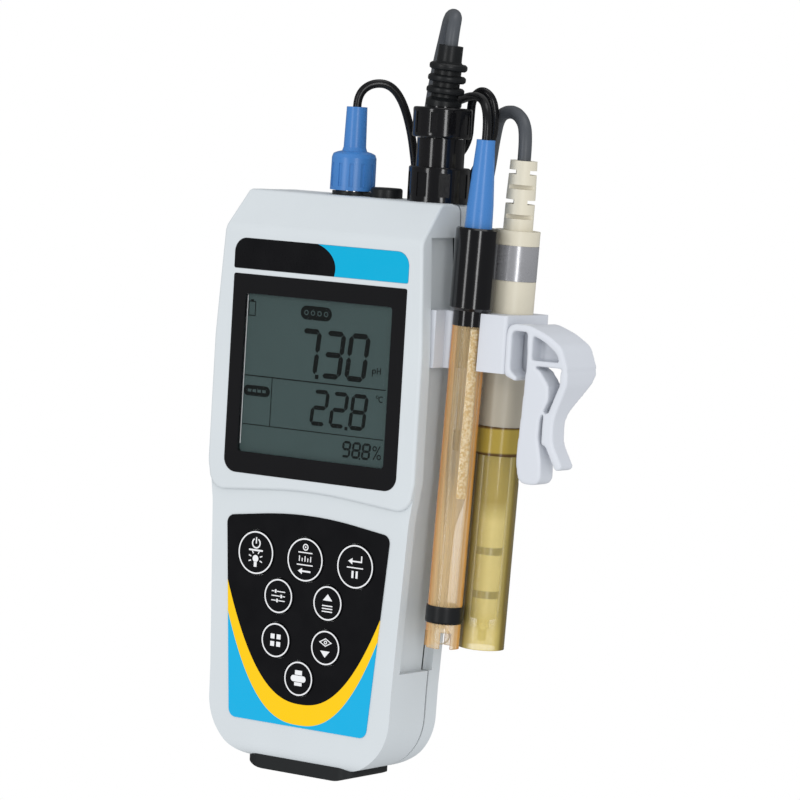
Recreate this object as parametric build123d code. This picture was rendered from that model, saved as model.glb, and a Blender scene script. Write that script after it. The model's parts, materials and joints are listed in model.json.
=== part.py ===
from build123d import *
import math
import os

# Handheld pH and conductivity meter with two probes in a side holder.
# Millimetres. +Z runs up the meter, the display faces -Y, and the origin is the
# middle of the rubber foot's flat underside.

# ---------------------------------------------------------------- driving sizes
CASE_TOP = 201.5            # top of the case above the surface
CASE_BOTTOM = 3.8           # underside of the case, on the rubber foot
CASE_HALF = 44.0            # half width beside the display
FRONT = -19.0               # face of the display module
KEYPAD_FACE = -17.5         # face of the lower panel, behind the display module
REAR = 19.0                 # back of the display half
REAR_LOW = 11.0             # back of the battery half
WALL = 2.2                  # moulded wall
SIDE_WALL = 5.6             # wall beside the grooves
STEP_Z = 97.5               # lower edge of the display module
PART_Y = 4.0                # parting plane of the two shells
SEAM = 0.4                  # half thickness of the case gasket
GROOVE_DEPTH = 2.8          # side groove for the probe holder
GROOVE_Y = (-13.5, 6.0)
GROOVE_Z = (40.0, 190.0)

LABEL_Z = (174.0, 184.8)
LABEL_HALF = 37.0
BEZEL_Z = (102.8, 172.3)
BEZEL_HALF = 36.8
GLASS_Z = (110.3, 165.6)
GLASS_HALF = 31.15
OPENING_HALF = 32.4         # hole in the front shell behind the bezel
OPENING_Z = (109.0, 166.9)

BIG_KEY = 15.5
SMALL_KEY = 12.4
KEY_GAP = 0.3               # all round a key
KEY_TRAVEL = 0.4
KEYS = [(-21.27, 75.5, BIG_KEY), (0.0, 75.4, BIG_KEY), (21.27, 75.5, BIG_KEY),
        (-10.55, 61.5, SMALL_KEY), (10.55, 61.5, SMALL_KEY),
        (-10.69, 46.0, SMALL_KEY), (10.69, 46.0, SMALL_KEY), (0.0, 33.85, SMALL_KEY)]
KEY_FACE = -18.2
KEY_BACK = -16.1

CELL_D = 14.5               # AA cell
CELL_L = 50.5
CELL_X = [-23.25, -7.75, 7.75, 23.25]
CELL_Y = 1.2
CELL_Z = 25.0
TRAY_HALF = 32.6
TRAY_Z = (20.5, 80.5)
DOOR_HALF = 34.0
DOOR_Z = (17.0, 84.0)
DOOR_T = 1.6
DOOR_SCREW_X = (-20.0, 20.0)
DOOR_SCREW_Z = 19.4

STAND_HALF = 15.0           # folding stand
STAND_Z = (120.0, 174.0)
STAND_PIVOT = (16.95, 174.0)
STAND_PIN_D = 2.0

BNC = (-6.2, 6.0)           # x, y of the two sockets and the cover on the top face
JACK = (8.4, 6.0)
SOCKET = (30.0, 6.0)

PROBE_TILT = 1.9            # both probes lean with the tapering side of the case
PROBE_Z = 154.0             # level at which the two axes below are given
PH_AXIS = (53.5, -5.1)
PH_D = 12.0
PH_CAP_D = 15.0
EC_AXIS = (60.2, 9.2)
EC_BODY_D = 15.6
EC_GUARD_D = 16.0
HOLDER_X = (44.25, 70.2)
HOLDER_Y = (-7.5, 19.0)
HOLDER_Z = (146.0, 165.6)
HOLDER_MOUTH = 11.4         # snap opening in front of the pH electrode

CLIP_FRONT = -7.5
CLIP_DEPTH = 8.4            # legs
CLIP_HOOD = 19.0            # curved hood over them
JAW_PIVOT = (93.95, 147.9)  # x, z of the flexing line

PH_CABLE_D = 3.0
EC_CABLE_D = 4.6
COIL = (-30.0, 49.0)        # x, y of the middle of both coils, one on the other
COIL_R = 27.5
COIL_BASE = 0.8             # the tie passes under the coils
EC_COIL_Z = (COIL_BASE, 15.1)
PH_COIL_Z = (15.3, 24.6)

os.makedirs("parts", exist_ok=True)


def save(node, shape):
    """Write one sub-part; several solids become one compound."""
    shape.label = node
    export_step(shape, f"parts/{node}.step")
    return shape


def group(shapes):
    return Compound(children=list(shapes))


def block(x, y, z):
    """Box from (low, high) pairs."""
    size = [b - a for a, b in (x, y, z)]
    middle = [(a + b) / 2 for a, b in (x, y, z)]
    return Pos(*middle) * Box(*size)


def rod(x, y, z0, z1, radius):
    return Pos(x, y, (z0 + z1) / 2) * Cylinder(radius, z1 - z0)


def rod_y(x, z, y0, y1, radius):
    return Pos(x, (y0 + y1) / 2, z) * Rot(90, 0, 0) * Cylinder(radius, y1 - y0)


def rod_x(y, z, x0, x1, radius):
    return Pos((x0 + x1) / 2, y, z) * Rot(0, 90, 0) * Cylinder(radius, x1 - x0)


def turned(points):
    """Solid of revolution about Z from (radius, z) points."""
    wire = Polyline(*[(r, 0, z) for r, z in points], close=True)
    return revolve(make_face(wire), Axis.Z)


def front_prism(points, y0, y1, radii=None):
    """Outline in the X-Z plane, extruded from y0 to y1; radii round its corners in turn."""
    corners = [(x, y0, z) for x, z in points]
    if radii:
        wire = FilletPolyline(*corners, radius=radii, close=True)
    else:
        wire = Polyline(*corners, close=True)
    return extrude(make_face(wire), amount=y1 - y0, dir=(0, 1, 0))


def plate(half, z, y, foot, head=None):
    """Rectangular plate facing -Y, centred on x = 0, with corner radii foot below and head above."""
    head = foot if head is None else head
    corners = [(-half, z[0]), (half, z[0]), (half, z[1]), (-half, z[1])]
    return front_prism(corners, *y, [foot, foot, head, head])


def on_probe(axis, shape):
    """Put a shape built about Z (with true heights) on a leaning probe axis."""
    return Pos(axis[0], axis[1], PROBE_Z) * Rot(0, PROBE_TILT, 0) * Pos(0, 0, -PROBE_Z) * shape


def probe_point(axis, z, offset=0.0):
    """Point on a probe's axis at height z of its own scale."""
    lean = math.radians(PROBE_TILT)
    up = z - PROBE_Z
    return (axis[0] + up * math.sin(lean), axis[1] + offset, PROBE_Z + up * math.cos(lean))


# ---------------------------------------------------------------- case
def case_outline(inset):
    """Front outline: tapering sides with round lower corners, widest beside the display."""
    low = CASE_BOTTOM + inset
    high = CASE_TOP - inset
    right = [(38.3, low), (38.9, 34.0), (41.9, 92.0), (43.9, 106.0), (44.0, 150.0),
             (42.6, 176.0), (41.0, high)]
    right = [(x - inset, z) for x, z in right]
    corner = [max(20.0 - inset, 2.0), 30.0, 20.0, 20.0, 40.0, 40.0, 3.0]
    left = [(-x, z) for x, z in reversed(right)]
    return right + left, corner + list(reversed(corner))


def side_profile(front, rear, rear_low, low, high, slope_foot, slope_head):
    """Side profile in Y-Z: sloping top front edge, shallower battery half."""
    points = [(front, low), (front, slope_foot), (slope_head, high), (rear, high),
              (rear, 112.0), (rear_low, 88.0), (rear_low, low)]
    radii = [4.5, 5.0, 2.5, 3.5, 14.0, 14.0, 7.0]
    corners = [(-60, y, z) for y, z in points]
    wire = FilletPolyline(*corners, radius=radii, close=True)
    return extrude(make_face(wire), amount=120, dir=(1, 0, 0))


def case_body():
    """Outer form of the closed case, before it is hollowed and split."""
    outline, radii = case_outline(0.0)
    lower = front_prism(outline, -30, 30, radii)
    lower = lower & side_profile(KEYPAD_FACE, REAR, REAR_LOW, CASE_BOTTOM, CASE_TOP, 188.3, -7.0)
    module = front_prism(
        [(-42.0, STEP_Z - 1.6), (0.0, STEP_Z + 2.0), (42.0, STEP_Z - 1.6),
         (44.0, 106.0), (44.0, 150.0), (42.6, 176.0), (41.0, 203.0), (-41.0, 203.0),
         (-42.6, 176.0), (-44.0, 150.0), (-44.0, 106.0)],
        -30, 0,
        [6.0, 200.0, 6.0, 6.0, 40.0, 40.0, 3.0, 3.0, 40.0, 40.0, 6.0])
    module = module & side_profile(FRONT, REAR, REAR_LOW, CASE_BOTTOM, CASE_TOP, 188.3, -7.0)
    return lower + module


def case_cavity():
    outline, radii = case_outline(SIDE_WALL)
    inner = front_prism(outline, -30, 30, radii)
    low = CASE_BOTTOM + WALL
    high = CASE_TOP - WALL
    profile = side_profile(KEYPAD_FACE + WALL, REAR - WALL, REAR_LOW - WALL, low, high, 187.0, -6.0)
    space = inner & profile
    stand_pocket_walls = block((-STAND_HALF - 3, STAND_HALF + 3), (12.6, 20), (116, 182))
    return space - stand_pocket_walls


def side_grooves():
    """Long shallow groove down each side, following the taper."""
    outer, outer_radii = case_outline(-1.0)
    inner, inner_radii = case_outline(GROOVE_DEPTH)
    ring = front_prism(outer, *GROOVE_Y, outer_radii) - front_prism(inner, *GROOVE_Y, inner_radii)
    return ring & block((-60, 60), GROOVE_Y, GROOVE_Z)


BOSSES = [(-33.0, 93.0), (33.0, 93.0), (-33.0, 178.0), (33.0, 178.0), (-22.0, 14.0), (22.0, 14.0)]
BOSS_R = 3.4
SCREW_R = 1.25


def rear_face_at(z):
    return REAR if z > 112 else REAR_LOW


def case_shells():
    """Front and rear shells with screw bosses, and the gasket between them."""
    body = case_body()
    edges = body.edges().filter_by(
        lambda e: abs(e.center().Y - FRONT) < 0.05 and 100 < e.center().Z < 200)
    body = fillet(edges, 1.0)
    shell = body - case_cavity() - side_grooves()
    bosses = [rod_y(x, z, KEYPAD_FACE + 1, rear_face_at(z) - 1, BOSS_R) for x, z in BOSSES]
    shell = shell + bosses
    front_half = block((-60, 60), (-40, PART_Y - SEAM), (-5, 260))
    rear_half = block((-60, 60), (PART_Y + SEAM, 40), (-5, 260))
    front = shell & front_half
    rear = shell & rear_half
    for x, z in BOSSES:
        front = front - rod_y(x, z, -12, PART_Y, SCREW_R)
        rear = rear - rod_y(x, z, 0, 40, SCREW_R)
        rear = rear - rod_y(x, z, rear_face_at(z) - 3.0, 40, 2.6)

    # front openings: display, keys, label and overlay seats
    front = front - block((-OPENING_HALF, OPENING_HALF), (-30, -10), OPENING_Z)
    front = front - plate(BEZEL_HALF, BEZEL_Z, (-25, -17.9), 5.0, 0.8)
    front = front - plate(LABEL_HALF, LABEL_Z, (-25, -18.7), 0.8, 5.0)
    front = front - front_prism(OVERLAY, -25, -17.1, OVERLAY_RADII)
    for x, z, size in KEYS:
        front = front - rod_y(x, z, -25, -10, size / 2 + KEY_GAP)

    # holes in the top for the sockets
    rear_top = rod(*BNC, 190, 210, 4.8) + rod(*SOCKET, 190, 210, 7.5) + rod(*JACK, 195, 210, 3.0)
    front = front - rear_top
    rear = rear - rear_top

    # battery opening with its rebate, and the stand's recess
    rear = rear - block((-31.0, 31.0), (0, 20), (22.0, 79.0))
    rear = rear - plate(DOOR_HALF + 0.25, (DOOR_Z[0] - 0.25, DOOR_Z[1] + 0.25),
                        (REAR_LOW - DOOR_T - 0.4, 14), 3.25)
    for x in DOOR_SCREW_X:
        rear = rear - rod_y(x, DOOR_SCREW_Z, 4, 12, 1.0)
    rear = rear - block((-STAND_HALF - 0.5, STAND_HALF + 0.5), (14.8, 25), (118.5, 176.6))
    rear = rear - rod_x(*STAND_PIVOT, -18.2, 18.2, STAND_PIN_D / 2)

    ring_outline, ring_radii = case_outline(0.5)
    ring = front_prism(ring_outline, PART_Y - SEAM, PART_Y + SEAM, ring_radii)
    ring = ring & side_profile(-30, 40, 30, CASE_BOTTOM + 0.5, CASE_TOP - 0.5, 250, 0)
    inner_outline, inner_radii = case_outline(SIDE_WALL)
    gasket = ring - front_prism(inner_outline, -30, 30, inner_radii)
    gasket = gasket - side_grooves() - rear_top
    return front, rear, gasket


OVERLAY = [(-34.9, 87.4), (0.0, 92.0), (34.9, 87.4), (29.4, 16.8), (-29.4, 16.8)]
OVERLAY_RADII = [3.0, 150.0, 3.0, 3.0, 3.0]

front_shell, rear_shell, case_gasket = case_shells()
save("front_shell", front_shell)
save("rear_shell", rear_shell)
save("case_gasket", case_gasket)


def countersunk_screw(x, z, seat, tip):
    head = rod_y(x, z, seat, seat + 1.8, 2.3)
    return head + rod_y(x, z, tip, seat, SCREW_R)


def door_screw(x):
    head = rod_y(x, DOOR_SCREW_Z, REAR_LOW - 0.8, REAR_LOW, 2.1)
    return head + rod_y(x, DOOR_SCREW_Z, 5.0, REAR_LOW - 0.8, 1.0)


screws = [countersunk_screw(x, z, rear_face_at(z) - 3.0, -6.0) for x, z in BOSSES]
save("case_screws", group(screws + [door_screw(x) for x in DOOR_SCREW_X]))


# ---------------------------------------------------------------- foot
def bottom_foot():
    pad = block((-23.5, 23.5), (-16, 9.5), (0, 9))
    pad = fillet(pad.edges().filter_by(Axis.Z), 6.0)
    keel = front_prism([(-23.5, 9), (-23.5, 2.4), (-17, 0), (17, 0), (23.5, 2.4), (23.5, 9)],
                       -20, 12, [1.0, 3.0, 12.0, 12.0, 3.0, 1.0])
    return (pad & keel) - case_body()


save("bottom_foot", bottom_foot())

# ---------------------------------------------------------------- display
save("header_label", plate(LABEL_HALF - 0.1, (LABEL_Z[0] + 0.1, LABEL_Z[1] - 0.1),
                           (-19.1, -18.7), 0.7, 4.9))
aperture = plate(GLASS_HALF, GLASS_Z, (-25, 0), 1.2)
bezel = plate(BEZEL_HALF - 0.1, (BEZEL_Z[0] + 0.1, BEZEL_Z[1] - 0.1), (-19.15, -17.9), 4.9, 0.7)
save("display_bezel", bezel - aperture)
save("display_lens", plate(GLASS_HALF, GLASS_Z, (-18.5, -18.0), 1.2))
save("lcd_glass", block((-GLASS_HALF - 0.5, GLASS_HALF + 0.5), (-17.9, -16.4),
                        (GLASS_Z[0] - 0.5, GLASS_Z[1] + 0.5)))
save("lcd_backlight", block((-OPENING_HALF + 0.4, OPENING_HALF - 0.4), (-16.4, -13.6),
                            (OPENING_Z[0] + 0.4, OPENING_Z[1] - 0.4)))

# ---------------------------------------------------------------- keypad
overlay = front_prism(OVERLAY, -17.8, -17.1, OVERLAY_RADII)
for key_x, key_z, key_d in KEYS:
    overlay = overlay - rod_y(key_x, key_z, -25, -10, key_d / 2 + KEY_GAP)
save("keypad_overlay", overlay)


def key(x, z, size):
    cap = rod_y(x, z, KEY_FACE, KEY_BACK, size / 2)
    return fillet(cap.edges().sort_by(Axis.Y)[0], 0.35)


for number, (key_x, key_z, key_d) in enumerate(KEYS, start=1):
    save(f"key_{number}", key(key_x, key_z, key_d))

DOME_SHEET = (-15.3, -15.0)
dome_sheet = block((-30.5, 30.5), DOME_SHEET, (26.0, 85.0))
for key_x, key_z, key_d in KEYS:
    dome_sheet = dome_sheet + rod_y(key_x, key_z, DOME_SHEET[0] - 0.25, DOME_SHEET[0], 4.0)
save("dome_sheet", dome_sheet)

# circuit board with the spacers under the dome sheet and its tallest parts soldered on
BOARD_Y = (-13.6, -12.0)
board = block((-29.0, 29.0), BOARD_Y, (25.0, 186.0))
for spacer_x in (-26.5, 26.5):
    for spacer_z in (32.0, 80.0):
        board = board + rod_y(spacer_x, spacer_z, DOME_SHEET[1], BOARD_Y[0], 2.2)
for chip_x, chip_z, chip_height in (((-9, 5), (128, 142), 2.4), ((12, 22), (112, 126), 1.8),
                                    ((-24, -14), (150, 158), 3.0), ((-4, 14), (88, 96), 2.6)):
    board = board + block(chip_x, (BOARD_Y[1], BOARD_Y[1] + chip_height), chip_z)
save("main_board", board)

# ---------------------------------------------------------------- batteries
tray = block((-TRAY_HALF, TRAY_HALF), (-8.0, REAR_LOW - WALL), TRAY_Z)
tray = tray & case_cavity()
tray = tray - block((-TRAY_HALF + 1.4, TRAY_HALF - 1.4), (-6.6, 20), (TRAY_Z[0] + 1.4, TRAY_Z[1] - 1.4))
save("battery_tray", tray)


def cell(x, up):
    body = rod(x, CELL_Y, CELL_Z, CELL_Z + CELL_L - 1.5, CELL_D / 2)
    body = fillet(body.edges(), 0.6)
    nub = rod(x, CELL_Y, CELL_Z + CELL_L - 1.5, CELL_Z + CELL_L, 2.6)
    whole = body + nub
    if up:
        return whole
    middle = CELL_Z + CELL_L / 2
    return Pos(x, CELL_Y, middle) * Rot(180, 0, 0) * Pos(-x, -CELL_Y, -middle) * whole


save("batteries", group(cell(x, index % 2 == 0) for index, x in enumerate(CELL_X)))
TRAY_FLOOR = TRAY_Z[0] + 1.4
TRAY_LID = TRAY_Z[1] - 1.4
contacts = []
for cell_x in CELL_X:
    contacts.append(block((cell_x - 5, cell_x + 5), (CELL_Y - 5, CELL_Y + 5), (TRAY_FLOOR, TRAY_FLOOR + 0.5))
                    + rod(cell_x, CELL_Y, TRAY_FLOOR + 0.5, CELL_Z, 3.0))
    contacts.append(block((cell_x - 5, cell_x + 5), (CELL_Y - 5, CELL_Y + 5), (TRAY_LID - 0.5, TRAY_LID))
                    + rod(cell_x, CELL_Y, CELL_Z + CELL_L, TRAY_LID - 0.5, 3.0))
save("battery_contacts", group(contacts))

door = plate(DOOR_HALF, DOOR_Z, (REAR_LOW - DOOR_T, REAR_LOW), 3.0)
for door_x in DOOR_SCREW_X:
    door = door - rod_y(door_x, DOOR_SCREW_Z, 0, 20, 1.15)
    door = door - rod_y(door_x, DOOR_SCREW_Z, REAR_LOW - 0.8, 20, 2.3)
for rib_z in (60.0, 64.0, 68.0, 72.0):
    door = door - block((-12, 12), (REAR_LOW - 0.6, 20), (rib_z, rib_z + 1.6))
save("battery_door", door)
seal_outer = plate(DOOR_HALF, DOOR_Z, (REAR_LOW - DOOR_T - 0.4, REAR_LOW - DOOR_T), 3.0)
seal = seal_outer - plate(31.6, (21.4, 79.6), (0, 20), 1.0)
for door_x in DOOR_SCREW_X:
    seal = seal - rod_y(door_x, DOOR_SCREW_Z, 0, 20, 1.3)
save("battery_door_seal", seal)

# ---------------------------------------------------------------- folding stand
PIVOT_Y, PIVOT_Z = STAND_PIVOT
stand = block((-STAND_HALF, STAND_HALF), (15.1, 18.8), (STAND_Z[0], PIVOT_Z))
stand = stand + rod_x(PIVOT_Y, PIVOT_Z, -STAND_HALF, STAND_HALF, 1.85)
stand = stand - block((-9.5, 9.5), (17.6, 25), (128, 164))
stand = stand - block((-5, 5), (17.6, 25), (STAND_Z[0] - 1, STAND_Z[0] + 3))
stand = stand - rod_x(PIVOT_Y, PIVOT_Z, -20, 20, STAND_PIN_D / 2 + 0.05)
save("kickstand", stand)
save("kickstand_pin", rod_x(PIVOT_Y, PIVOT_Z, -18.0, 18.0, STAND_PIN_D / 2))

# ---------------------------------------------------------------- pH socket and plug
bx, by = BNC
bnc_body = rod(bx, by, 190, CASE_TOP, 4.8) + rod(bx, by, CASE_TOP, 212, 4.75)
bnc_body = bnc_body - rod(bx, by, 203, 220, 4.05) + rod(bx, by, 188, 190, 2.0)
save("bnc_socket", bnc_body)
save("bnc_plug", rod(bx, by, 204, 212.5, 3.9) + rod(bx, by, 212.5, 215, 5.2))
boot = turned([(0, 203.2), (7.9, 203.2), (7.8, 214.6), (7.3, 215.9), (6.0, 216.5), (4.4, 216.9),
               (3.95, 218.2), (3.6, 232.3), (0, 232.3)])
boot = boot - rod(0, 0, 200, 212.4, 5.0) - rod(0, 0, 212.4, 215.1, 5.25)
for turn in range(12):
    boot = boot - Rot(0, 0, turn * 30) * block((7.55, 9), (-0.7, 0.7), (204.6, 212.6))
save("bnc_boot", Pos(bx, by, 0) * boot)

# ---------------------------------------------------------------- cover of the charging socket
jx, jy = JACK
STRAP_TOP = 202.9           # ring round the pH socket that keeps the cover on the meter
cover = rod(jx, jy, CASE_TOP, 205.0, 5.6)
cover = fillet(cover.edges().sort_by(Axis.Z)[-1], 0.9) + rod(jx, jy, 196, CASE_TOP, 3.0)
strap = rod(bx, by, CASE_TOP, STRAP_TOP, 7.0) + block((bx, jx), (by - 2.6, by + 2.6), (CASE_TOP, STRAP_TOP))
save("jack_cover", cover + strap - rod(bx, by, 200, 210, 4.9))

# ---------------------------------------------------------------- conductivity socket and plug
sx, sy = SOCKET
SOCKET_R = 10.6
NUT_R = 10.2
socket = rod(0, 0, 192, CASE_TOP, 7.5) + rod(0, 0, CASE_TOP, 213.6, SOCKET_R)
socket = fillet(socket.edges().sort_by(Axis.Z)[-1], 0.7) - rod(0, 0, 205, 220, 6.4)
for turn in range(8):
    socket = socket - Rot(0, 0, turn * 45) * block((SOCKET_R - 0.5, 12), (-2.0, 2.0), (203.4, 211.6))
save("probe_socket", Pos(sx, sy, 0) * socket)
save("plug_body", Pos(sx, sy, 0) * (rod(0, 0, 206, 213.6, 6.3) + rod(0, 0, 213.6, 223.4, 8.3)
                                    + rod(0, 0, 223.4, 234.4, 6.0)))
nut = rod(0, 0, 223.6, 234.0, NUT_R)
nut = fillet(nut.edges(), 0.8) - rod(0, 0, 220, 236, 6.05)
for turn in range(10):
    nut = nut - Rot(0, 0, turn * 36) * block((NUT_R - 0.35, 12), (-1.3, 1.3), (225.2, 232.4))
save("coupling_nut", Pos(sx, sy, 0) * nut)

RELIEF_TILT = 5.0
RELIEF_L = 21.0


def strain_relief():
    """Ribbed flexible sleeve on the plug, leaning with the pull of its cable."""
    profile = [(0, 0), (6.2, 0), (6.2, 2.0), (4.7, 3.2)]
    for rib in range(3):
        low = 3.2 + rib * 4.1
        profile += [(4.7, low + 1.0), (5.9, low + 1.1), (6.5, low + 1.6), (6.6, low + 2.3),
                    (6.5, low + 3.0), (5.9, low + 3.5), (4.7, low + 3.6)]
    profile += [(4.3, 15.6), (4.2, RELIEF_L), (0, RELIEF_L)]
    return turned(profile)


relief_at = Pos(sx, sy, 234.4) * Rot(0, RELIEF_TILT, 0)
relief = relief_at * strain_relief()
relief = relief + rod(sx, sy, 234.4, 236.4, 5.6)
relief = relief & block((0, 60), (-20, 30), (234.4, 260))
save("plug_strain_relief", relief)


# ---------------------------------------------------------------- probe holder
def probe_holder():
    body = block(HOLDER_X, HOLDER_Y, HOLDER_Z)
    body = fillet(body.edges().filter_by(Axis.Z), 1.2)
    groove_wall, groove_radii = case_outline(GROOVE_DEPTH)
    flange = block((38, 45.2), (-13.2, 5.7), HOLDER_Z) - front_prism(groove_wall, -20, 20, groove_radii)
    tongue = block((HOLDER_X[1] - 1, 78.3), (1.2, 3.6), (HOLDER_Z[0], 160.5))
    body = body + flange + tongue
    body = body - on_probe(PH_AXIS, rod(0, 0, 120, 200, PH_D / 2 + 0.1))
    mouth = block((-HOLDER_MOUTH / 2, HOLDER_MOUTH / 2), (-10, 0), (120, 200))
    body = body - on_probe(PH_AXIS, mouth)
    return body - on_probe(EC_AXIS, rod(0, 0, 120, 200, EC_BODY_D / 2 + 0.1))


holder = probe_holder()
save("probe_holder", holder - case_body() + (holder & side_grooves()))


# ---------------------------------------------------------------- beaker clip
HOOD = [(70.2, 145.6), (70.2, 163.3), (79.0, 163.3), (86.5, 160.6), (92.6, 156.9), (95.4, 149.6),
        (92.7, 149.6), (90.6, 154.6), (85.6, 158.1), (78.6, 160.9), (72.4, 160.9), (72.4, 147.6),
        (75.4, 145.4), (75.0, 143.9)]
HOOD_RADII = [2.0, 3.6, 14.0, 20.0, 6.0, 0.3, 0.3, 4.0, 16.0, 10.0, 1.6, 2.0, 0.4, 0.4]
LEG = [(78.6, 161.4), (78.9, 150.0), (78.0, 134.0), (76.9, 117.5), (78.4, 109.8), (87.4, 109.8),
       (87.0, 118.0), (85.2, 126.0), (85.5, 132.4), (88.5, 138.8), (88.3, 143.6), (84.5, 148.4),
       (80.9, 149.8), (80.9, 161.4)]
LEG_RADII = [0.2, 20.0, 40.0, 16.0, 3.4, 3.4, 12.0, 8.0, 5.0, 3.0, 3.0, 3.0, 1.0, 0.2]
JAW = [(92.5, 147.9), (92.6, 144.4), (89.6, 137.0), (88.7, 134.4), (86.9, 134.2), (86.5, 129.0),
       (86.7, 123.6), (88.3, 123.2), (92.8, 115.3), (95.8, 116.3), (91.2, 124.4), (90.9, 132.0),
       (95.6, 144.4), (95.4, 147.9)]
JAW_RADII = [0.2, 3.0, 8.0, 0.3, 0.8, 6.0, 0.8, 0.3, 1.2, 1.2, 8.0, 16.0, 6.0, 0.2]


def clip_frame():
    leg = front_prism(LEG, CLIP_FRONT, CLIP_FRONT + CLIP_DEPTH, LEG_RADII)
    hood = front_prism(HOOD, CLIP_FRONT, CLIP_FRONT + CLIP_HOOD, HOOD_RADII)
    trim = block((60, 77.0), (CLIP_FRONT + CLIP_DEPTH, 30), (140, 170))
    rib = block((80.4, 92.9), (CLIP_FRONT, CLIP_FRONT + CLIP_DEPTH), (149.8, 151.7))
    web = front_prism([(80.4, 151.2), (92.2, 151.2), (91.6, 155.0), (86.5, 158.6), (80.4, 160.9)],
                      CLIP_FRONT + CLIP_DEPTH - 2.0, CLIP_FRONT + CLIP_DEPTH)
    return leg + (hood - trim) + rib + web


def clip_jaw():
    arm = front_prism(JAW, CLIP_FRONT, CLIP_FRONT + CLIP_HOOD, JAW_RADII)
    x, z = JAW_PIVOT
    knuckle = rod_y(x, z, CLIP_FRONT, CLIP_FRONT + CLIP_HOOD, 1.45)
    depth = [(CLIP_FRONT, 152.0), (CLIP_FRONT, 110.0), (CLIP_FRONT + 7.8, 110.0),
             (CLIP_FRONT + 7.8, 134.0), (CLIP_FRONT + CLIP_HOOD, 148.0),
             (CLIP_FRONT + CLIP_HOOD, 152.0)]
    wire = FilletPolyline(*[(60, y, z) for y, z in depth], radius=[0.5, 0.5, 2.0, 10.0, 2.0, 0.5],
                          close=True)
    return (arm + knuckle) & extrude(make_face(wire), amount=60, dir=(1, 0, 0))


save("clip_frame", clip_frame())
save("clip_jaw", clip_jaw())


# ---------------------------------------------------------------- pH electrode
PH_TIP = 50.4
STEM_X = -1.5               # glass stem stands off the middle of the body
STEM_R = 1.9
STEM_BORE = 1.2
ph_tube = rod(0, 0, PH_TIP, 161.0, PH_D / 2) - rod(0, 0, 40, 170, PH_D / 2 - 1.1)
for fin in range(4):
    ph_tube = ph_tube - Rot(0, 0, 45 + 90 * fin) * block((0, 8), (-1.9, 1.9), (40, 56.0))
end_disc = rod(0, 0, 58.6, 61.0, PH_D / 2 - 1.1) - rod(STEM_X, 0, 50, 70, STEM_R)
save("ph_body_tube", on_probe(PH_AXIS, ph_tube + end_disc))
stem = rod(STEM_X, 0, 57.0, 161.0, STEM_R) - rod(STEM_X, 0, 57, 170, STEM_BORE)
bulb = (Pos(-0.6, 0, 54.2) * Sphere(3.1)) & rod(-0.6, 0, 40, 57.2, 4)
save("ph_glass_stem", on_probe(PH_AXIS, stem + bulb))
reference = rod(STEM_X, 0, 118.0, 125.0, STEM_BORE) + rod(STEM_X, 0, 125.0, 161.0, 0.4)
save("ph_reference_rod", on_probe(PH_AXIS, reference))
save("ph_gel_wick", on_probe(PH_AXIS, rod(2.5, 0, 102.0, 160.0, 1.7)))
save("ph_o_ring", on_probe(PH_AXIS, turned([(6.0, 59.0), (6.3, 59.0), (6.45, 59.6), (6.45, 64.3),
                                            (6.3, 64.9), (6.0, 64.9)])))
save("ph_cap", on_probe(PH_AXIS, turned([
    (0, 161.0), (PH_D / 2, 161.0), (PH_D / 2, 166.2), (6.5, 166.2), (PH_CAP_D / 2, 167.2),
    (PH_CAP_D / 2, 193.8), (6.9, 194.4), (0, 194.4)])))
save("ph_boot", on_probe(PH_AXIS, turned([(0, 194.4), (4.7, 194.4), (4.5, 202), (3.2, 222.5), (3.2, 224.2),
                                          (0, 224.2)])))

# ---------------------------------------------------------------- conductivity probe
EC_TOP = 217.8
RELIEF_SLOT = 1.5           # height of the slots that let the relief bend
RELIEF_TURN = 34.5          # the probe sits turned in its holder
ec_relief = turned([(0, 194.0), (5.1, 194.0), (5.0, 206), (4.6, EC_TOP), (0, EC_TOP)])
for slot_z, side in ((213.9, 1), (213.9, -1), (203.8, 1), (203.8, -1)):
    ec_relief = ec_relief - Pos(side * 4.6, 0, slot_z) * Box(4.6, 12, RELIEF_SLOT)
for slot_z, side in ((208.9, 1), (208.9, -1), (198.8, 1), (198.8, -1)):
    ec_relief = ec_relief - Pos(0, side * 4.6, slot_z) * Box(12, 4.6, RELIEF_SLOT)
save("ec_strain_relief", on_probe(EC_AXIS, Rot(0, 0, RELIEF_TURN) * ec_relief))
ec_body = rod(0, 0, 127.0, 194.0, EC_BODY_D / 2) - rod(0, 0, 176.9, 189.1, 8.5) + rod(0, 0, 176, 190, 7.6)
save("ec_body", on_probe(EC_AXIS, ec_body))
save("ec_band", on_probe(EC_AXIS, rod(0, 0, 177.0, 189.0, 7.82) - rod(0, 0, 170, 200, 7.6)))
ec_core = rod(0, 0, 60.3, 127.0, 4.6)
EC_RINGS = [(67.4, 70.0), (82.5, 85.1)]
for ring_z in EC_RINGS:
    ec_core = ec_core - (rod(0, 0, *ring_z, 6) - rod(0, 0, *ring_z, 3.8))
ec_core = ec_core + rod(0, 0, 56.4, 60.3, 2.1)
save("ec_core", on_probe(EC_AXIS, ec_core))
electrodes = [rod(0, 0, *z, 4.55) - rod(0, 0, *z, 3.8) for z in EC_RINGS]
electrodes.append(rod(0, 0, 52.4, 56.4, 1.5))
save("ec_electrodes", group(on_probe(EC_AXIS, electrode) for electrode in electrodes))
ec_guard = rod(0, 0, 50.0, 117.0, EC_GUARD_D / 2) - rod(0, 0, 40, 130, EC_GUARD_D / 2 - 1.3)
ec_guard = ec_guard - Rot(0, 0, 35) * rod_x(0, 109.0, -12, 12, 1.6)
save("ec_guard", on_probe(EC_AXIS, ec_guard))
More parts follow.
